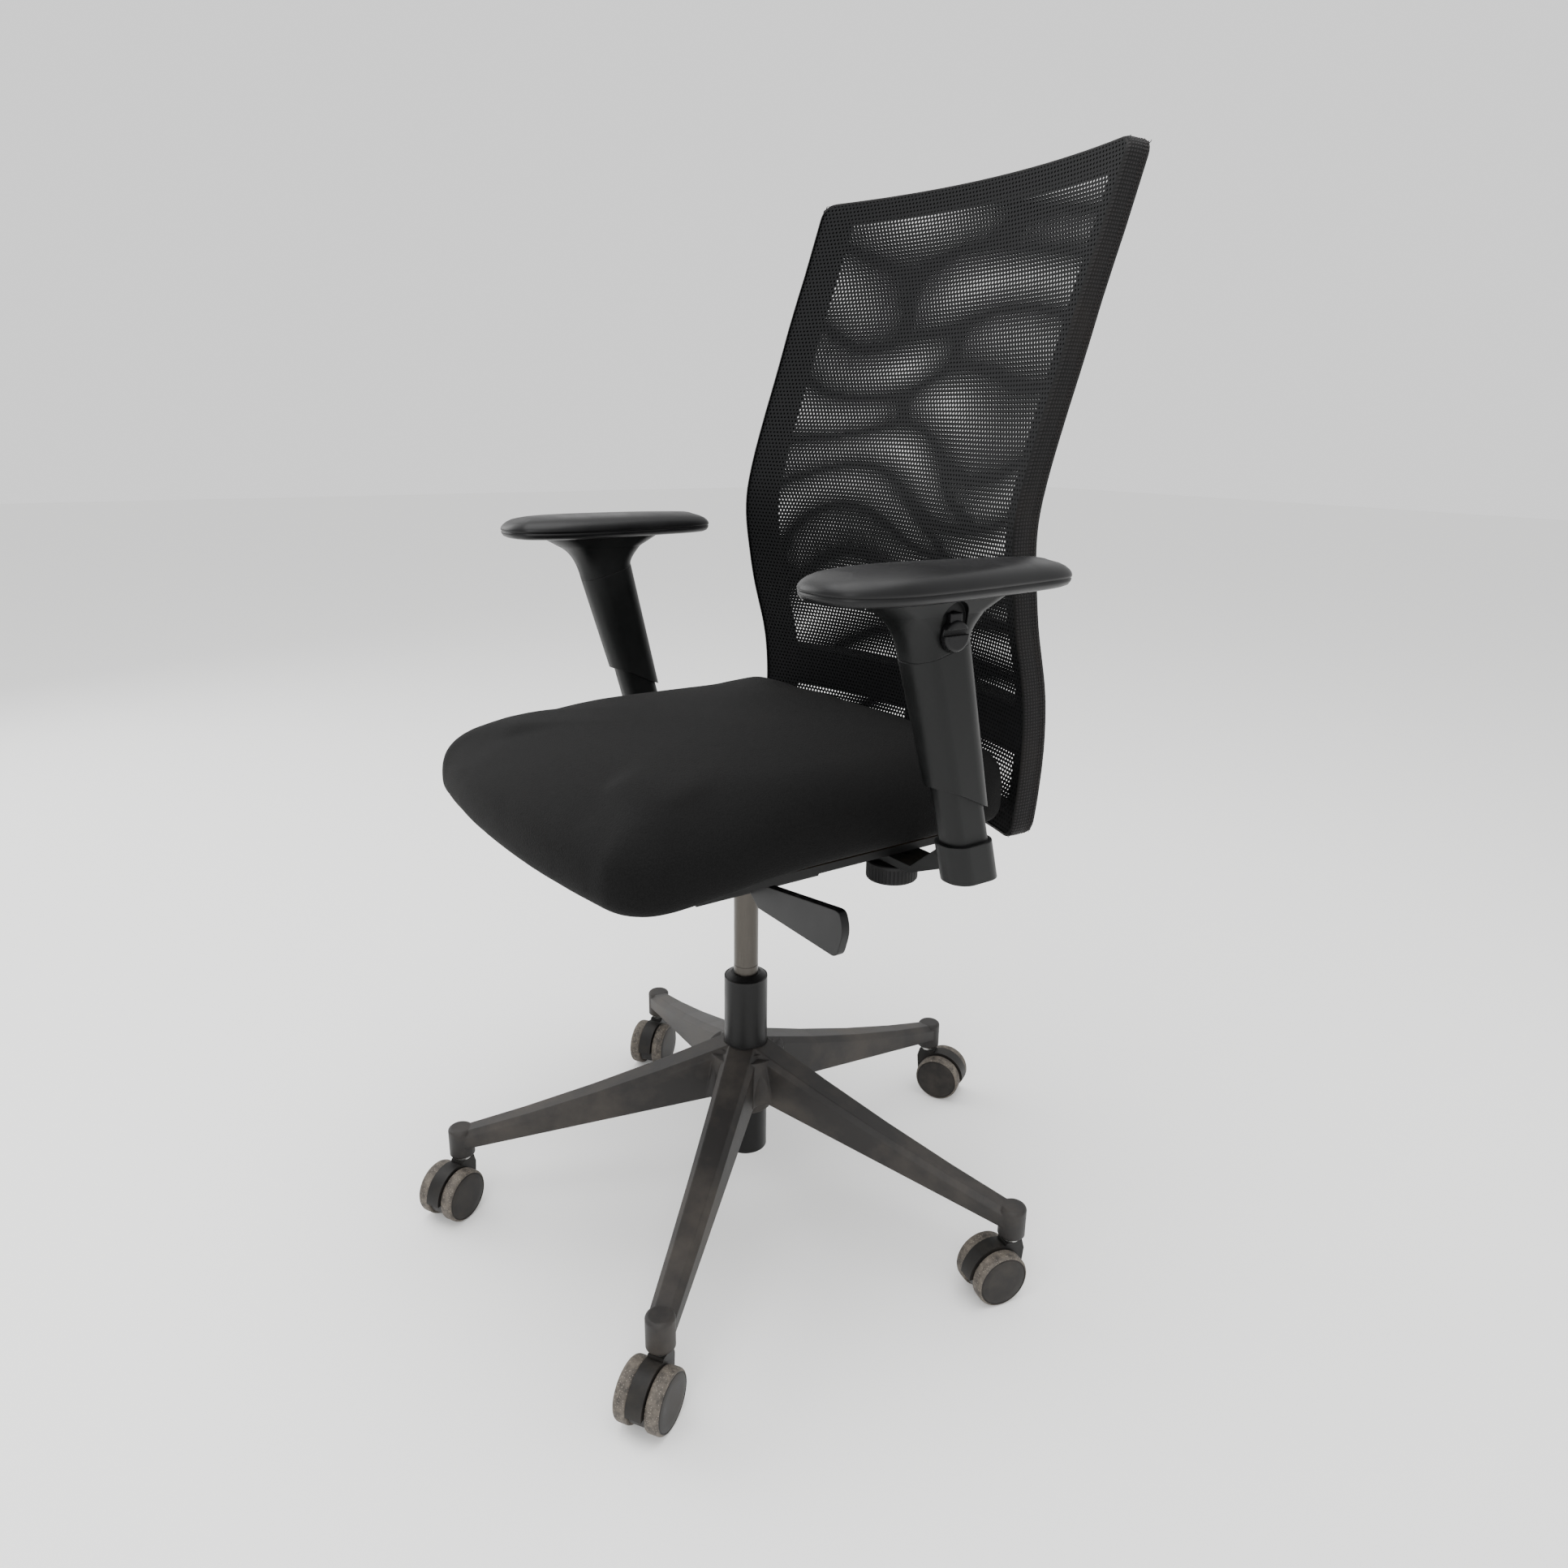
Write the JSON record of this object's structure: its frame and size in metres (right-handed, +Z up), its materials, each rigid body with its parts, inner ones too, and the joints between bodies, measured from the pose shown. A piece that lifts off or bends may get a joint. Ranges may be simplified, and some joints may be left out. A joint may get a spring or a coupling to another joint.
{
  "type": "swivel office chair",
  "caption": "Task chair with mesh back, upholstered seat, height-adjustable armrests, gas lift and five-star base on twin-wheel casters.",
  "frame": {"origin": "on the floor, on the axis of the gas lift", "axes": "+Z up, the sitter faces -Y, the sitter's left is +X"},
  "size_m": [0.7001, 0.7265, 1.148],
  "materials": {
    "base_nylon": "worn moulded nylon",
    "tube_paint": "satin black",
    "bush_nylon": "moulded",
    "bearing_steel": "ground",
    "cylinder_steel": "ground and plated",
    "caster_nylon": "moulded",
    "wheel_nylon": "worn tread, dark cap",
    "pin_steel": "plated",
    "mech_paint": "satin black",
    "knob_nylon": "ribbed",
    "lever_nylon": "moulded",
    "shell_plastic": "grained",
    "board_ply": "plywood",
    "seat_fabric": "fine crepe weave",
    "mesh_fabric": "stretched mesh",
    "frame_nylon": "moulded",
    "arm_nylon": "moulded",
    "pad_pu": "skinned polyurethane"
  },
  "bodies": {
    "base": {"star_base": "base_nylon", "column_tube": "tube_paint", "column_bushing": "bush_nylon", "thrust_bearing": "bearing_steel"},
    "lift_rod": {"piston_rod": "bearing_steel"},
    "lift": {"gas_cylinder": "cylinder_steel", "mechanism_body": "mech_paint", "mechanism_axles": "pin_steel", "tension_spring": "bearing_steel"},
    "tension_adjuster": {"tension_bolt": "pin_steel", "tension_knob": "knob_nylon"},
    "valve": {"valve_pin": "pin_steel"},
    "height_lever": {"height_lever": "lever_nylon"},
    "tilt_lever": {"tilt_lever": "lever_nylon"},
    "seat": {"seat_plate": "mech_paint", "seat_shell": "shell_plastic", "seat_board": "board_ply", "seat_cushion": "seat_fabric", "seat_bolts": "pin_steel", "arm_clamp_bolts": "pin_steel"},
    "back": {"back_carrier": "frame_nylon", "back_frame": "frame_nylon", "back_crossbar": "frame_nylon", "back_mesh_front": "mesh_fabric", "back_mesh_rear": "mesh_fabric", "back_bolts": "pin_steel"},
    "arm_left": {"arm_bracket_left": "arm_nylon", "arm_post_left": "arm_nylon"},
    "sleeve_left": {"arm_sleeve_left": "arm_nylon", "arm_head_left": "arm_nylon", "arm_pad_left": "pad_pu"},
    "button_left": {"arm_button_left": "lever_nylon"},
    "knob_left": {"arm_knob_left": "knob_nylon"},
    "arm_right": {"arm_bracket_right": "arm_nylon", "arm_post_right": "arm_nylon"},
    "sleeve_right": {"arm_sleeve_right": "arm_nylon", "arm_head_right": "arm_nylon", "arm_pad_right": "pad_pu"},
    "button_right": {"arm_button_right": "lever_nylon"},
    "knob_right": {"arm_knob_right": "knob_nylon"},
    "caster_1": {"caster_hood_1": "caster_nylon", "caster_pins_1": "pin_steel"},
    "wheel_1a": {"caster_wheel_1a": "wheel_nylon"},
    "wheel_1b": {"caster_wheel_1b": "wheel_nylon"},
    "caster_2": {"caster_hood_2": "caster_nylon", "caster_pins_2": "pin_steel"},
    "wheel_2a": {"caster_wheel_2a": "wheel_nylon"},
    "wheel_2b": {"caster_wheel_2b": "wheel_nylon"},
    "caster_3": {"caster_hood_3": "caster_nylon", "caster_pins_3": "pin_steel"},
    "wheel_3a": {"caster_wheel_3a": "wheel_nylon"},
    "wheel_3b": {"caster_wheel_3b": "wheel_nylon"},
    "caster_4": {"caster_hood_4": "caster_nylon", "caster_pins_4": "pin_steel"},
    "wheel_4a": {"caster_wheel_4a": "wheel_nylon"},
    "wheel_4b": {"caster_wheel_4b": "wheel_nylon"},
    "caster_5": {"caster_hood_5": "caster_nylon", "caster_pins_5": "pin_steel"},
    "wheel_5a": {"caster_wheel_5a": "wheel_nylon"},
    "wheel_5b": {"caster_wheel_5b": "wheel_nylon"}
  },
  "joints": [
    {"name": "seat_swivel", "type": "hinge", "parent": "base", "child": "lift_rod", "pos_m": [0, 0, 0.07], "axis": [0, 0, 1], "continuous": true},
    {"name": "height_adjust", "type": "slide", "parent": "lift_rod", "child": "lift", "axis": [0, 0, 1], "range_m": [-0.1, 0]},
    {"name": "tension_turn", "type": "hinge", "parent": "lift", "child": "tension_adjuster", "pos_m": [-0.024, -0.096, 0.439], "axis": [0, 1, 0], "range_deg": [-360, 360]},
    {"name": "lever_lift", "type": "hinge", "parent": "lift", "child": "height_lever", "pos_m": [0.038, -0.033, 0.429], "axis": [0, -1, 0], "range_deg": [0, 6], "stiffness_Nm_per_rad": 0.8, "springref_deg": -17.19},
    {"name": "valve_press", "type": "slide", "parent": "lift", "child": "valve", "axis": [0, 0, 1], "range_m": [-0.005, 0]},
    {"name": "lock_turn", "type": "hinge", "parent": "lift", "child": "tilt_lever", "pos_m": [-0.038, -0.033, 0.429], "axis": [0, 1, 0], "range_deg": [0, 12]},
    {"name": "back_recline", "type": "hinge", "parent": "lift", "child": "back", "pos_m": [0, 0.06, 0.447], "axis": [-1, 0, 0], "range_deg": [0, 20], "stiffness_Nm_per_rad": 60, "springref_deg": -20.05},
    {"name": "seat_tilt", "type": "hinge", "parent": "lift", "child": "seat", "pos_m": [0, -0.07, 0.467], "axis": [-1, 0, 0], "range_deg": [0, 7.5]},
    {"name": "arm_width_left", "type": "slide", "parent": "seat", "child": "arm_left", "axis": [1, 0, 0], "range_m": [-0.02, 0.03]},
    {"name": "arm_height_left", "type": "slide", "parent": "arm_left", "child": "sleeve_left", "axis": [0, -0.2588, 0.9659], "range_m": [-0.022, 0.06]},
    {"name": "button_lift_left", "type": "slide", "parent": "sleeve_left", "child": "button_left", "axis": [0, 0, 1], "range_m": [0, 0.005], "stiffness_N_per_m": 300, "springref_m": -0.003},
    {"name": "knob_turn_left", "type": "hinge", "parent": "seat", "child": "knob_left", "pos_m": [0.188, 0.051, 0.471], "axis": [0, 0, 1], "range_deg": [0, 360]},
    {"name": "arm_width_right", "type": "slide", "parent": "seat", "child": "arm_right", "axis": [-1, 0, 0], "range_m": [-0.02, 0.03]},
    {"name": "arm_height_right", "type": "slide", "parent": "arm_right", "child": "sleeve_right", "axis": [0, -0.2588, 0.9659], "range_m": [-0.022, 0.06]},
    {"name": "button_lift_right", "type": "slide", "parent": "sleeve_right", "child": "button_right", "axis": [0, 0, 1], "range_m": [0, 0.005], "stiffness_N_per_m": 300, "springref_m": -0.003},
    {"name": "knob_turn_right", "type": "hinge", "parent": "seat", "child": "knob_right", "pos_m": [-0.188, 0.051, 0.471], "axis": [0, 0, 1], "range_deg": [0, 360]},
    {"name": "caster_swivel_1", "type": "hinge", "parent": "base", "child": "caster_1", "pos_m": [0.22847, -0.245, 0.08], "axis": [0, 0, 1], "continuous": true},
    {"name": "wheel_spin_1a", "type": "hinge", "parent": "caster_1", "child": "wheel_1a", "pos_m": [0.24013, -0.26366, 0.03], "axis": [0.848, 0.5299, 0], "continuous": true},
    {"name": "wheel_spin_1b", "type": "hinge", "parent": "caster_1", "child": "wheel_1b", "pos_m": [0.24013, -0.26366, 0.03], "axis": [0.848, 0.5299, 0], "continuous": true},
    {"name": "caster_swivel_2", "type": "hinge", "parent": "base", "child": "caster_2", "pos_m": [0.30361, 0.14158, 0.08], "axis": [0, 0, 1], "continuous": true},
    {"name": "wheel_spin_2a", "type": "hinge", "parent": "caster_2", "child": "wheel_2a", "pos_m": [0.29904, 0.12006, 0.03], "axis": [0.9781, -0.2079, 0], "continuous": true},
    {"name": "wheel_spin_2b", "type": "hinge", "parent": "caster_2", "child": "wheel_2b", "pos_m": [0.29904, 0.12006, 0.03], "axis": [0.9781, -0.2079, 0], "continuous": true},
    {"name": "caster_swivel_3", "type": "hinge", "parent": "base", "child": "caster_3", "pos_m": [-0.04083, 0.3325, 0.08], "axis": [0, 0, 1], "continuous": true},
    {"name": "wheel_spin_3a", "type": "hinge", "parent": "caster_3", "child": "wheel_3a", "pos_m": [-0.02159, 0.34317, 0.03], "axis": [-0.4848, 0.8746, 0], "continuous": true},
    {"name": "wheel_spin_3b", "type": "hinge", "parent": "caster_3", "child": "wheel_3b", "pos_m": [-0.02159, 0.34317, 0.03], "axis": [-0.4848, 0.8746, 0], "continuous": true},
    {"name": "caster_swivel_4", "type": "hinge", "parent": "base", "child": "caster_4", "pos_m": [-0.32884, 0.06392, 0.08], "axis": [0, 0, 1], "continuous": true},
    {"name": "wheel_spin_4a", "type": "hinge", "parent": "caster_4", "child": "wheel_4a", "pos_m": [-0.31561, 0.04635, 0.03], "axis": [0.7986, 0.6018, 0], "continuous": true},
    {"name": "wheel_spin_4b", "type": "hinge", "parent": "caster_4", "child": "wheel_4b", "pos_m": [-0.31561, 0.04635, 0.03], "axis": [0.7986, 0.6018, 0], "continuous": true},
    {"name": "caster_swivel_5", "type": "hinge", "parent": "base", "child": "caster_5", "pos_m": [-0.16241, -0.293, 0.08], "axis": [0, 0, 1], "continuous": true},
    {"name": "wheel_spin_5a", "type": "hinge", "parent": "caster_5", "child": "wheel_5a", "pos_m": [-0.15208, -0.31242, 0.03], "axis": [0.8829, 0.4695, 0], "continuous": true},
    {"name": "wheel_spin_5b", "type": "hinge", "parent": "caster_5", "child": "wheel_5b", "pos_m": [-0.15208, -0.31242, 0.03], "axis": [0.8829, 0.4695, 0], "continuous": true}
  ],
  "couplings": [
    {"joint": "seat_tilt", "follows": "back_recline", "ratio": 0.35},
    {"joint": "valve_press", "follows": "lever_lift", "m_per_rad": -0.0445}
  ]
}
